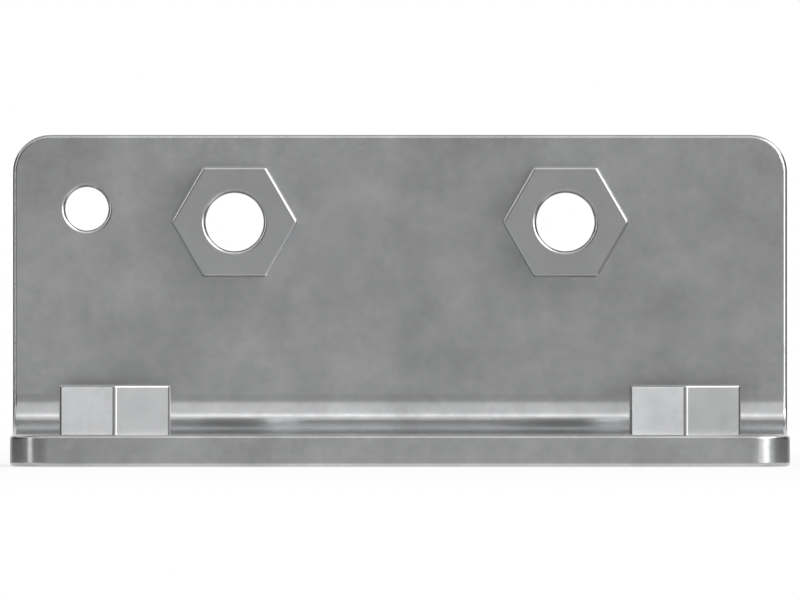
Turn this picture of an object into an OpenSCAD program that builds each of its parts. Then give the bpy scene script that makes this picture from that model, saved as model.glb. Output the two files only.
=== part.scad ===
// Hose mounting bracket: one L-shaped piece of bent sheet steel, with four hexagon weld nuts on its
// inner faces and one plain fixing hole.
// The origin is under the middle of the bracket, on the plane that the flange stands on.
// +X runs along the width, +Y points to the back of the upright and +Z points up.

/* [Sheet] */
// Width of the bracket, side to side
bracket_w = 98.4; // [94:0.2:140]
// Height of the upright, from the underside of the flange to the top edge
bracket_h = 42; // [38:0.5:80]
// Depth of the flange, from the back of the upright to the front edge
bracket_d = 36; // [32:0.5:80]
// Thickness of the sheet
sheet_t = 4; // [2:0.25:6]
// Inside radius of the bend
bend_r = 5; // [2:0.25:7]
// Radius of the four free corners, seen square on
corner_r = 4.75; // [1.5:0.25:9]
// Round along every cut edge of the sheet
sheet_edge_r = 0.5; // [0.1:0.05:0.8]

/* [Weld nuts] */
// Width of a nut across its flats
nut_af = 14; // [12.5:0.25:17]
// Height of a nut above the sheet
nut_h = 6.3; // [4:0.1:9]
// Diameter of the bore at the crests of its thread
nut_bore_d = 7.4; // [5:0.1:8.4]
// Round along the top edges of a nut
nut_edge_r = 0.4; // [0.2:0.05:0.9]
// Round at both mouths of a nut's bore
bore_mouth_r = 0.5; // [0.2:0.05:0.9]
// How much each of a nut's six corners is cut back from sharp
nut_corner_ease = 0.08; // [0.04:0.02:0.4]
// Diameter of the pilot collar that centres a nut in the sheet
pilot_d = 10.5; // [9.7:0.1:11.5]
// Length of the pilot collar, into the sheet
pilot_h = 1; // [0.6:0.1:1.8]
// Bevel on the end of the pilot collar
pilot_bevel = 0.3; // [0.1:0.05:0.5]
// Radial gap between the pilot collar and its seat in the sheet
pilot_gap = 0.1; // [0.05:0.05:0.4]

/* [Nut places] */
// Distance between the two nuts on the upright
upright_nut_pitch = 42; // [22:1:60]
// Drop from the top edge of the upright to the centres of its nuts
upright_nut_drop = 11.1; // [10:0.1:18]
// Distance between the two nuts on the flange
flange_nut_pitch = 72; // [24:1:76]
// Distance from the front edge of the flange back to the centres of its nuts
flange_nut_setback = 11.1; // [10:0.1:14]

/* [Fixing hole] */
// Diameter of the plain fixing hole
fixing_hole_d = 5.5; // [3:0.1:8]
// Distance from the left edge of the upright to the centre of the hole
fixing_hole_inset = 9.4; // [7:0.1:10]
// Drop from the top edge of the upright to the centre of the hole
fixing_hole_drop = 9.4; // [7:0.1:28]

/* [Hidden] */
$fn = 64;
half_w = bracket_w / 2;
back_y = bracket_d / 2;
front_y = -bracket_d / 2;
// Centre line of the bend, behind the flange and below the upright
bend_y = back_y - sheet_t - bend_r;
bend_z = sheet_t + bend_r;
upright_nut_z = bracket_h - upright_nut_drop;
flange_nut_y = front_y + flange_nut_setback;
fixing_hole_x = -half_w + fixing_hole_inset;
fixing_hole_z = bracket_h - fixing_hole_drop;
seat_r = pilot_d / 2 + pilot_gap;
// Radius of the turned blank that a nut is made from, a little less than its sharp corners would need
nut_blank_r = nut_af / 2 / cos(30) - nut_corner_ease;
// How far a cutter runs past the face that it cuts
overshoot = 1;

// Section through a free edge: 0 to reach across and 0 to rise up, with the far corners rounded
module edge_section(reach, rise, round_r, both_corners) {
    flat_from = both_corners ? round_r : 0;
    square([reach - round_r, rise]);
    translate([reach - round_r, flat_from])
        square([round_r, rise - round_r - flat_from]);
    translate([reach - round_r, rise - round_r])
        intersection() {
            circle(round_r);
            square(round_r);
        }
    if (both_corners)
        translate([reach - round_r, round_r])
            intersection() {
                circle(round_r);
                mirror([0, 1])
                    square(round_r);
            }
}

// Section of the sheet from one cut edge to the other
module sheet_section() {
    for (side = [0, 1])
        mirror([side, 0])
            edge_section(half_w, sheet_t, sheet_edge_r, true);
}

// One flat leg: width along X, bend line at Y = 0, free edge at Y = length, outer face at Z = 0
module leg(length) {
    straight = length - corner_r;
    translate([0, straight, 0])
        rotate([90, 0, 0])
            linear_extrude(straight)
                sheet_section();
    translate([corner_r - half_w, straight, 0])
        rotate([90, 0, 90])
            linear_extrude(bracket_w - 2 * corner_r)
                edge_section(corner_r, sheet_t, sheet_edge_r, true);
    for (side = [0, 1])
        mirror([side, 0, 0])
            translate([half_w - corner_r, straight, 0])
                rotate_extrude(angle = 90)
                    edge_section(corner_r, sheet_t, sheet_edge_r, true);
}

// The quarter turn of sheet that joins the flange to the upright
module bend() {
    translate([0, bend_y, bend_z])
        rotate([0, 90, 0])
            rotate_extrude(angle = 90)
                translate([bend_r + sheet_t, 0])
                    rotate(90)
                        sheet_section();
}

// Puts a shape on the upright, with the back of the sheet at its Z = 0
module on_upright(x, z) {
    translate([x, back_y, z])
        rotate([90, 0, 0])
            children();
}

// Puts a shape on the flange, with the underside of the sheet at its Z = 0
module on_flange(x, y) {
    translate([x, y, 0])
        children();
}

// Cutter for a round hole from Z = 0 to depth, with its lower mouth rounded and the upper one on request
module hole_cutter(radius, depth, mouth_r, both_mouths) {
    wall_to = both_mouths ? depth - mouth_r : depth + overshoot;
    rotate_extrude()
        difference() {
            translate([0, -overshoot])
                square([radius + mouth_r, depth + 2 * overshoot]);
            translate([radius, mouth_r])
                square([2 * mouth_r, wall_to - mouth_r]);
            translate([radius + mouth_r, mouth_r])
                circle(mouth_r);
            if (both_mouths)
                translate([radius + mouth_r, depth - mouth_r])
                    circle(mouth_r);
        }
}

// The bent sheet with its fixing hole and the four seats for the weld nuts' collars
module bracket() {
    color("#8d8e90")
        difference() {
            union() {
                translate([0, back_y, bend_z])
                    rotate([90, 0, 0])
                        leg(bracket_h - bend_z);
                bend();
                translate([0, bend_y, 0])
                    rotate([0, 0, 180])
                        leg(bend_y - front_y);
            }
            on_upright(fixing_hole_x, fixing_hole_z)
                hole_cutter(fixing_hole_d / 2, sheet_t, sheet_edge_r, true);
            for (side = [-1, 1]) {
                on_upright(side * upright_nut_pitch / 2, upright_nut_z)
                    hole_cutter(seat_r, sheet_t, sheet_edge_r, false);
                on_flange(side * flange_nut_pitch / 2, flange_nut_y)
                    hole_cutter(seat_r, sheet_t, sheet_edge_r, false);
            }
        }
}

// Long bar along X as wide and as high as a nut, with its two top edges rounded
module nut_bar() {
    translate([-nut_af, 0, 0])
        rotate([90, 0, 90])
            linear_extrude(2 * nut_af)
                for (side = [0, 1])
                    mirror([side, 0])
                        edge_section(nut_af / 2, nut_h, nut_edge_r, false);
}

// Hexagonal body of a nut, standing on Z = 0 with two corners on the X axis: three crossed bars give it
// its flats and rounded top edges, and a turned blank eases its corners
module nut_body() {
    intersection() {
        cylinder(r = nut_blank_r, h = nut_h);
        intersection_for (turn = [0, 60, 120])
            rotate(turn)
                nut_bar();
    }
}

// Weld nut seated on the inner face of the sheet, its collar reaching back into the seat
module weld_nut(turn) {
    color("#939496")
        translate([0, 0, sheet_t])
            difference() {
                union() {
                    rotate(turn)
                        nut_body();
                    translate([0, 0, pilot_bevel - pilot_h])
                        cylinder(d = pilot_d, h = pilot_h - pilot_bevel);
                    translate([0, 0, -pilot_h])
                        cylinder(d1 = pilot_d - 2 * pilot_bevel, d2 = pilot_d, h = pilot_bevel);
                }
                translate([0, 0, -pilot_h])
                    hole_cutter(nut_bore_d / 2, nut_h + pilot_h, bore_mouth_r, true);
            }
}

// A nut on the upright points two corners sideways
module upright_nut(side) {
    on_upright(side * upright_nut_pitch / 2, upright_nut_z)
        weld_nut(0);
}

// A nut on the flange points one corner to the front
module flange_nut(side) {
    on_flange(side * flange_nut_pitch / 2, flange_nut_y)
        weld_nut(90);
}

bracket();
upright_nut(-1);  // upright_nut_left
upright_nut(1);  // upright_nut_right
flange_nut(-1);  // flange_nut_left
flange_nut(1);  // flange_nut_right
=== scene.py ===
import math
import bpy
from mathutils import Matrix, Vector


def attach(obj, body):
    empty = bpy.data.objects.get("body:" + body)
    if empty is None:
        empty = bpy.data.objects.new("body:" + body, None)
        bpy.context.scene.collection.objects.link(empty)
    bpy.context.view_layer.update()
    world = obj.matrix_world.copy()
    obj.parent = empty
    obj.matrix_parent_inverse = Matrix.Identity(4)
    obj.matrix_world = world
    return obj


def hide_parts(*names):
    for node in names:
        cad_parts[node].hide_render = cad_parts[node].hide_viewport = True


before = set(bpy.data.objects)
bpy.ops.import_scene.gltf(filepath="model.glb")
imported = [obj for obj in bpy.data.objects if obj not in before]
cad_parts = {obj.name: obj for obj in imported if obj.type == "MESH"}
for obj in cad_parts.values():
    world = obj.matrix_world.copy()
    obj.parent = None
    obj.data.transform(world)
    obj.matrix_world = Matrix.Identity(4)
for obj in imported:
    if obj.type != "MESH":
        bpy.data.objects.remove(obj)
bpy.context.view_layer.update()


# ---- The bent sheet ----
# One blank of 4 mm steel sheet, cut out, pierced for its hole and its four nuts, and folded in a press.
# Its cut edges were tumbled round, and the whole bracket was zinc plated after its nuts were welded on.
# It keeps the CAD's own mesh.

SHEET_LIGHT = "#b8b9ba"
SHEET_DARK = "#98999a"
SHEET_SHIFT = (0.013, 0, 0.004)
CLOUD_SIZE = 0.01
DULL_ROUGHNESS = 0.22
BRIGHT_ROUGHNESS = 0.2
GRAIN_SIZE = 0.0007
GRAIN_HEIGHT = 0.00002
FILM_IOR = 1.8
FILM_HAZE = 0.5


def linear(hex_colour):
    """Turns an sRGB hex colour into the linear one that the shaders take."""
    channels = [int(hex_colour[i:i + 2], 16) / 255 for i in (1, 3, 5)]
    return [c / 12.92 if c <= 0.04045 else ((c + 0.055) / 1.055) ** 2.4 for c in channels] + [1]


def add_node(tree, kind, settings=None, values=None, links=None):
    """Adds a node, gives it its settings and input values, and links its inputs to other nodes' outputs."""
    node = tree.nodes.new(kind)
    for name, value in (settings or {}).items():
        setattr(node, name, value)
    for name, value in (values or {}).items():
        node.inputs[name].default_value = value
    for name, (source, output) in (links or {}).items():
        tree.links.new(source.outputs[output], node.inputs[name])
    return node


def zinc_plate(name, light, dark, shift):
    """Bright zinc on steel: a soft satin metal whose plating clouds over in patches about 10 mm across,
    a little lighter and smoother in some than in others, over the fine grain of the steel below. The
    clear passivation film on top of the zinc adds a faint haze round whatever it mirrors. The shift
    says where in the clouds the piece lies."""
    material = bpy.data.materials.new(name)
    material.use_nodes = True
    tree = material.node_tree
    tree.nodes.clear()
    place = add_node(tree, "ShaderNodeTexCoord")
    moved = add_node(
        tree, "ShaderNodeMapping", values={"Location": shift}, links={"Vector": (place, "Object")})
    clouds = add_node(
        tree, "ShaderNodeTexNoise",
        values={"Scale": 1 / CLOUD_SIZE, "Detail": 7, "Roughness": 0.7},
        links={"Vector": (moved, "Vector")})
    tone = add_node(tree, "ShaderNodeValToRGB", links={"Fac": (clouds, "Fac")})
    for stop, position, shade in zip(tone.color_ramp.elements, (0.32, 0.68), (dark, light)):
        stop.position, stop.color = position, linear(shade)
    gloss = add_node(
        tree, "ShaderNodeMapRange",
        values={
            "From Min": 0.3, "From Max": 0.7, "To Min": DULL_ROUGHNESS, "To Max": BRIGHT_ROUGHNESS},
        links={"Value": (clouds, "Fac")})
    grain = add_node(
        tree, "ShaderNodeTexNoise",
        values={"Scale": 1 / GRAIN_SIZE, "Detail": 3, "Roughness": 0.6},
        links={"Vector": (moved, "Vector")})
    relief = add_node(
        tree, "ShaderNodeBump",
        values={"Strength": 0.15, "Distance": GRAIN_HEIGHT},
        links={"Height": (grain, "Fac")})
    metal = add_node(
        tree, "ShaderNodeBsdfPrincipled",
        values={"Metallic": 1.0, "Coat Weight": 1.0, "Coat Roughness": FILM_HAZE, "Coat IOR": FILM_IOR},
        links={
            "Base Color": (tone, "Color"), "Roughness": (gloss, "Result"), "Normal": (relief, "Normal")})
    add_node(tree, "ShaderNodeOutputMaterial", links={"Surface": (metal, "BSDF")})
    return material


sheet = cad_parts["bracket"]
sheet.material_slots[0].material = zinc_plate("zinc_plated_sheet", SHEET_LIGHT, SHEET_DARK, SHEET_SHIFT)


# ---- The four weld nuts ----
# Hexagon weld nuts of turned steel with an M8 x 0.75 thread, each centred by a short collar in a round
# seat in the sheet, projection welded on its hidden face, and plated together with the bracket. They
# take the place of the CAD's plain nuts, for their threads and rounded corners.

NUT_LIGHT = "#b1b2b3"
NUT_DARK = "#a0a1a2"
NUT_SHIFT = (0.031, 0.007, 0.052)
SHEET_T = 0.004
SHEET_BACK_Y = 0.018
NUT_AF = 0.014
NUT_H = 0.0063
NUT_EDGE_R = 0.0004
NUT_CORNER_R = 0.00065
BORE_R = 0.0037
BORE_MOUTH_R = 0.0005
THREAD_DEPTH = 0.0003
THREAD_PITCH = 0.00075
THREAD_FADE = 0.0006
FLANK_ANGLE = 30
ROOT_WIDTH = 1 / 8
COLLAR_R = 0.00525
COLLAR_H = 0.001
COLLAR_BEVEL = 0.0003
ROUND_STEPS = 6
CORNER_STEPS = 6
FLAT_STEPS = 10
ROWS_PER_PITCH = 10
SLOPE_STEP = 0.00002
UPRIGHT_NUT_X = 0.021
UPRIGHT_NUT_Z = 0.0309
FLANGE_NUT_X = 0.036
FLANGE_NUT_Y = -0.0069
UP = Vector((0, 0, 1))


def hexagon(inset, turn):
    """One round of points on the nut's outline, pulled in by inset, with the way that each one faces."""
    reach = (NUT_AF / 2 - NUT_CORNER_R) / math.cos(math.radians(30))
    points, facing = [], []
    for middle in range(turn, turn + 360, 60):
        towards = math.radians(middle)
        corner = Vector((math.cos(towards), math.sin(towards), 0)) * reach
        for step in range(CORNER_STEPS + 1):
            a = math.radians(middle - 30 + 60 * step / CORNER_STEPS)
            facing.append(Vector((math.cos(a), math.sin(a), 0)))
            points.append(corner + facing[-1] * (NUT_CORNER_R - inset))
        flat_end = (points[-1] - corner) + corner @ Matrix.Rotation(math.radians(-60), 3, "Z")
        for step in range(1, FLAT_STEPS):
            facing.append(facing[-1])
            points.append(points[-1].lerp(flat_end, 1 / (FLAT_STEPS + 1 - step)))
    return points, facing


def thread_depth(height, angle):
    """How far the thread's groove is cut into the bore's wall at a height and an angle about its axis. It
    fades out towards both mouths, and its flat root is an eighth of the pitch wide."""
    from_mouth = min(height + COLLAR_H - BORE_MOUTH_R, NUT_H - BORE_MOUTH_R - height)
    fade = min(1, max(0, from_mouth / THREAD_FADE))
    turn = (height / THREAD_PITCH + angle / (2 * math.pi)) % 1
    flank = THREAD_DEPTH * math.tan(math.radians(FLANK_ANGLE)) / THREAD_PITCH
    from_root = abs(turn - 0.5) - ROOT_WIDTH / 2
    return THREAD_DEPTH * fade * min(1, max(0, 1 - from_root / flank))


def nut_mesh(name, turn, place):
    """A whole nut as rounds of points that run up its outside, across its top and down its bore. Each
    round also says which way the surface faces before it and after it."""
    outline, flats = hexagon(0, turn)
    outward = [p.normalized() for p in outline]
    down = [-UP] * len(outline)
    rounds = []

    def circle(radius, height, before, after=None):
        """Adds a round of points on a circle, with one point for each on the outline."""
        rounds.append(([o * radius + UP * height for o in outward], before, after or before))

    def turned(start, to, angle):
        """Turns each direction of one round towards the other's."""
        return [a * math.cos(angle) + b * math.sin(angle) for a, b in zip(start, to)]

    up, inward = [UP] * len(outline), [-o for o in outward]
    bevel = [(o - UP).normalized() for o in outward]
    quarter = [math.radians(90 * step / ROUND_STEPS) for step in range(ROUND_STEPS + 1)]
    shoulder = NUT_H - NUT_EDGE_R
    circle(COLLAR_R - COLLAR_BEVEL, -COLLAR_H, down, bevel)
    circle(COLLAR_R, COLLAR_BEVEL - COLLAR_H, bevel, outward)
    circle(COLLAR_R, 0, outward, down)
    rounds.append((outline, down, flats))
    for a in quarter:
        points = hexagon(NUT_EDGE_R * (1 - math.cos(a)), turn)[0]
        facing = turned(flats, up, a)
        rounds.append(([p + UP * (shoulder + NUT_EDGE_R * math.sin(a)) for p in points], facing, facing))
    top, bottom = NUT_H - BORE_MOUTH_R, BORE_MOUTH_R - COLLAR_H
    for a in reversed(quarter):
        circle(
            BORE_R + BORE_MOUTH_R * (1 - math.cos(a)), top + BORE_MOUTH_R * math.sin(a),
            turned(inward, up, a))
    wall = top - bottom
    rows = round(ROWS_PER_PITCH * wall / THREAD_PITCH)
    for row in range(1, rows):
        height = top - wall * row / rows
        points, facing = [], []
        for o in outward:
            a = math.atan2(o.y, o.x)
            along = Vector((-o.y, o.x, 0))
            depth = thread_depth(height, a)
            above, below = (thread_depth(height + step, a) for step in (SLOPE_STEP, -SLOPE_STEP))
            rise = (above - below) / (2 * SLOPE_STEP)
            lead = rise * THREAD_PITCH / (2 * math.pi * BORE_R)
            points.append(o * (BORE_R + depth) + UP * height)
            facing.append((UP * rise + along * lead - o).normalized())
        rounds.append((points, facing, facing))
    for a in quarter:
        circle(
            BORE_R + BORE_MOUTH_R * (1 - math.cos(a)), bottom - BORE_MOUTH_R * math.sin(a),
            turned(inward, down, a))
    count = len(outline)
    faces, facings = [], []
    for ring in range(len(rounds)):
        following = (ring + 1) % len(rounds)
        here, there = ring * count, following * count
        after, before = rounds[ring][2], rounds[following][1]
        for i in range(count):
            beside = (i + 1) % count
            faces.append((here + i, here + beside, there + beside, there + i))
            facings += [after[i], after[beside], before[beside], before[i]]
    mesh = bpy.data.meshes.new(name)
    mesh.from_pydata([place @ p for points, before, after in rounds for p in points], [], faces)
    mesh.shade_smooth()
    mesh.normals_split_custom_set([place.to_3x3() @ facing for facing in facings])
    return mesh


nut_metal = zinc_plate("zinc_plated_nut", NUT_LIGHT, NUT_DARK, NUT_SHIFT)
for leg, turn, side_x, y, z, tilt in (
        ("upright", 0, UPRIGHT_NUT_X, SHEET_BACK_Y - SHEET_T, UPRIGHT_NUT_Z, 90),
        ("flange", 90, FLANGE_NUT_X, FLANGE_NUT_Y, SHEET_T, 0)):
    tilted = Matrix.Rotation(math.radians(tilt), 4, "X")
    for side, x in (("left", -side_x), ("right", side_x)):
        mesh = nut_mesh(f"{leg}_weld_nut_{side}", turn, Matrix.Translation((x, y, z)) @ tilted)
        mesh.materials.append(nut_metal)
        nut = bpy.data.objects.new(mesh.name, mesh)
        bpy.context.scene.collection.objects.link(nut)
        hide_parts(f"{leg}_nut_{side}")
        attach(nut, "root")


# ---- The floor ----
# A round sheet of plain matt white paper under the bracket. Most of its white is a glow of its own, so
# it keeps only a soft, faint shadow, and towards its rim it turns to the white of the background.

PAPER_WHITE = "#f9f9f9"
FLOOR_R = 0.6
FLOOR_DROP = 0.00005
RIM_STEP = 5
FADE_FROM = 0.1
FADE_TO = 0.54
LEAST_GLOW = 0.7


def white_paper():
    """Matt white paper: no gloss at all, and no grain that would show at this distance. Its glow grows
    towards the rim, so that the eye finds no line where the paper ends."""
    material = bpy.data.materials.new("white_paper")
    material.use_nodes = True
    tree = material.node_tree
    tree.nodes.clear()
    place = add_node(tree, "ShaderNodeTexCoord")
    away = add_node(
        tree, "ShaderNodeVectorMath", {"operation": "LENGTH"}, links={"Vector": (place, "Object")})
    rim = add_node(
        tree, "ShaderNodeMapRange", {"interpolation_type": "SMOOTHSTEP"},
        {"From Min": FADE_FROM, "From Max": FADE_TO, "To Min": LEAST_GLOW},
        {"Value": (away, "Value")})
    matt = add_node(tree, "ShaderNodeBsdfDiffuse", values={"Color": linear(PAPER_WHITE)})
    white = add_node(tree, "ShaderNodeEmission", values={"Color": linear("#ffffff"), "Strength": 1.0})
    both = add_node(tree, "ShaderNodeMixShader", links={"Fac": (rim, "Result")})
    tree.links.new(matt.outputs["BSDF"], both.inputs[1])
    tree.links.new(white.outputs["Emission"], both.inputs[2])
    add_node(tree, "ShaderNodeOutputMaterial", links={"Surface": (both, "Shader")})
    return material


rim_points = [
    (FLOOR_R * math.cos(math.radians(a)), FLOOR_R * math.sin(math.radians(a)), 0)
    for a in range(0, 360, RIM_STEP)]
floor_mesh = bpy.data.meshes.new("paper_floor")
floor_mesh.from_pydata(rim_points, [], [tuple(range(len(rim_points)))])
floor_mesh.materials.append(white_paper())
floor = bpy.data.objects.new("paper_floor", floor_mesh)
floor.location.z = -FLOOR_DROP
bpy.context.scene.collection.objects.link(floor)


# ---- The studio ----
# White surroundings with softboxes, and grey and black cards that give the bare metal something darker
# to mirror. They stand 6 m away and are placed by angles, in degrees, as the bracket sees them. A few
# more cards lie on the paper.

CENTRE = Vector((0, 0, 0.021))
STUDIO_R = 6
SURROUNDINGS = 1.0
LIGHT_ON_PAPER = 0.55


def stand(thing, azimuth, elevation):
    """Stands a lamp or a card at its distance, facing the bracket. Azimuth 0 is behind the camera and 90
    on the right."""
    across, up = math.radians(azimuth), math.radians(elevation)
    away = Vector((math.sin(across) * math.cos(up), -math.cos(across) * math.cos(up), math.sin(up)))
    thing.location = CENTRE + away * STUDIO_R
    thing.rotation_euler = away.to_track_quat("Z", "Y").to_euler()
    bpy.context.scene.collection.objects.link(thing)


def span(angle):
    """The length that fills an angle at the studio's distance."""
    return 2 * STUDIO_R * math.tan(math.radians(angle) / 2)


def softbox(name, azimuth, elevation, width, height, brightness):
    """A softbox that wide and that high, whose front is that many times as bright as white paper. The
    white surroundings show through a lamp, so it only adds what it has above them."""
    lamp = bpy.data.lights.new(name, "AREA")
    lamp.shape = "RECTANGLE"
    lamp.size, lamp.size_y = span(width), span(height)
    lamp.energy = (brightness - SURROUNDINGS) * math.pi * lamp.size * lamp.size_y
    stand(bpy.data.objects.new(name, lamp), azimuth, elevation)


def board(name, width, height, brightness):
    """A plain card that the metal mirrors at that brightness. The camera doesn't see it, and it leaves the
    light on the paper as it was."""
    mesh = bpy.data.meshes.new(name)
    x, y = width / 2, height / 2
    mesh.from_pydata([(-x, -y, 0), (x, -y, 0), (x, y, 0), (-x, y, 0)], [], [(0, 1, 2, 3)])
    material = bpy.data.materials.new(name)
    material.use_nodes = True
    tree = material.node_tree
    tree.nodes.clear()
    glow = add_node(tree, "ShaderNodeEmission", values={"Strength": brightness})
    add_node(tree, "ShaderNodeOutputMaterial", links={"Surface": (glow, "Emission")})
    mesh.materials.append(material)
    thing = bpy.data.objects.new(name, mesh)
    thing.visible_camera = thing.visible_diffuse = thing.visible_shadow = False
    return thing


def card(name, azimuth, elevation, width, height, brightness):
    """A card that stands at the studio's distance, as wide and as high as those angles."""
    thing = board(name, span(width), span(height), brightness)
    stand(thing, azimuth, elevation)


def floor_card(name, x, y, width, depth, brightness):
    """A card that lies on the paper beside the bracket."""
    thing = board(name, width, depth, brightness)
    thing.location = (x, y, -FLOOR_DROP / 2)
    bpy.context.scene.collection.objects.link(thing)


# Azimuth, elevation, width, height and brightness of each
softbox("key_softbox", 43.3, 12, 20, 32, 5.3)
softbox("high_key_softbox", 59, 43, 46, 28, 4.8)
softbox("right_fill", 26, 12, 13, 32, 2.3)
softbox("left_strip", -55, 12, 13, 32, 2.95)
softbox("overhead_strip", 0, 64, 31, 8, 2.35)
card("front_card", 2.5, 8.5, 25, 28, 0.45)
card("front_left_card", -30, 12, 40, 32, 0.02)
card("left_card", -104, 12, 82, 32, 0.02)
card("right_card", 109, 12, 78, 32, 0.02)
card("back_top_card", 180, 84, 100, 32, 0.28)
# The middle's x and y, the width, depth and brightness of each
floor_card("left_floor_card", -0.318, 0.208, 0.524, 0.484, 0.35)
floor_card("right_floor_card", 0.318, 0.208, 0.524, 0.484, 0.4)
floor_card("left_front_floor_card", -0.13, -0.1175, 0.15, 0.165, 0.5)
floor_card("right_front_floor_card", 0.13, -0.1175, 0.15, 0.165, 0.15)
floor_card("near_floor_card", 0, -0.10945, 0.109, 0.1811, 0.69)
floor_card("far_floor_card", 0, -0.3945, 0.28, 0.388, 0.8)
floor_card("front_edge_card", 0, -0.01825, 0.1004, 0.0011, 1.1)

# The camera sees full white, and so does the metal. The paper, which the softboxes light too, gets less.
world = bpy.data.worlds.new("white_surroundings")
bpy.context.scene.world = world
world.use_nodes = True
sky = world.node_tree
sky.nodes.clear()
ray = add_node(sky, "ShaderNodeLightPath")
seen = add_node(sky, "ShaderNodeMath", {"operation": "MAXIMUM"})
sky.links.new(ray.outputs["Is Camera Ray"], seen.inputs[0])
sky.links.new(ray.outputs["Is Glossy Ray"], seen.inputs[1])
seen_through = add_node(sky, "ShaderNodeMath", {"operation": "MAXIMUM"})
sky.links.new(seen.outputs["Value"], seen_through.inputs[0])
sky.links.new(ray.outputs["Is Transmission Ray"], seen_through.inputs[1])
level = add_node(
    sky, "ShaderNodeMapRange",
    values={"To Min": LIGHT_ON_PAPER, "To Max": SURROUNDINGS},
    links={"Value": (seen_through, "Value")})
white = add_node(
    sky, "ShaderNodeBackground", values={"Color": linear("#ffffff")}, links={"Strength": (level, "Result")})
add_node(sky, "ShaderNodeOutputWorld", links={"Surface": (white, "Background")})


# ---- The camera ----
# A very long lens, 3.5 m from the upright and level with its middle, so that the view is almost without
# perspective and looks square at the inner face, as in the photograph.

SENSOR = 36
LENS = 1256.2
CLIP_END = 20
CAMERA_PLACE = (0, -3.534, 0.021)

camera = bpy.data.objects.new("camera", bpy.data.cameras.new("camera"))
camera.data.sensor_width = SENSOR
camera.data.lens = LENS
camera.data.clip_end = CLIP_END
camera.location = CAMERA_PLACE
camera.rotation_euler = (math.radians(90), 0, 0)
bpy.context.scene.collection.objects.link(camera)
bpy.context.scene.camera = camera
bpy.context.scene.view_settings.view_transform = "Standard"
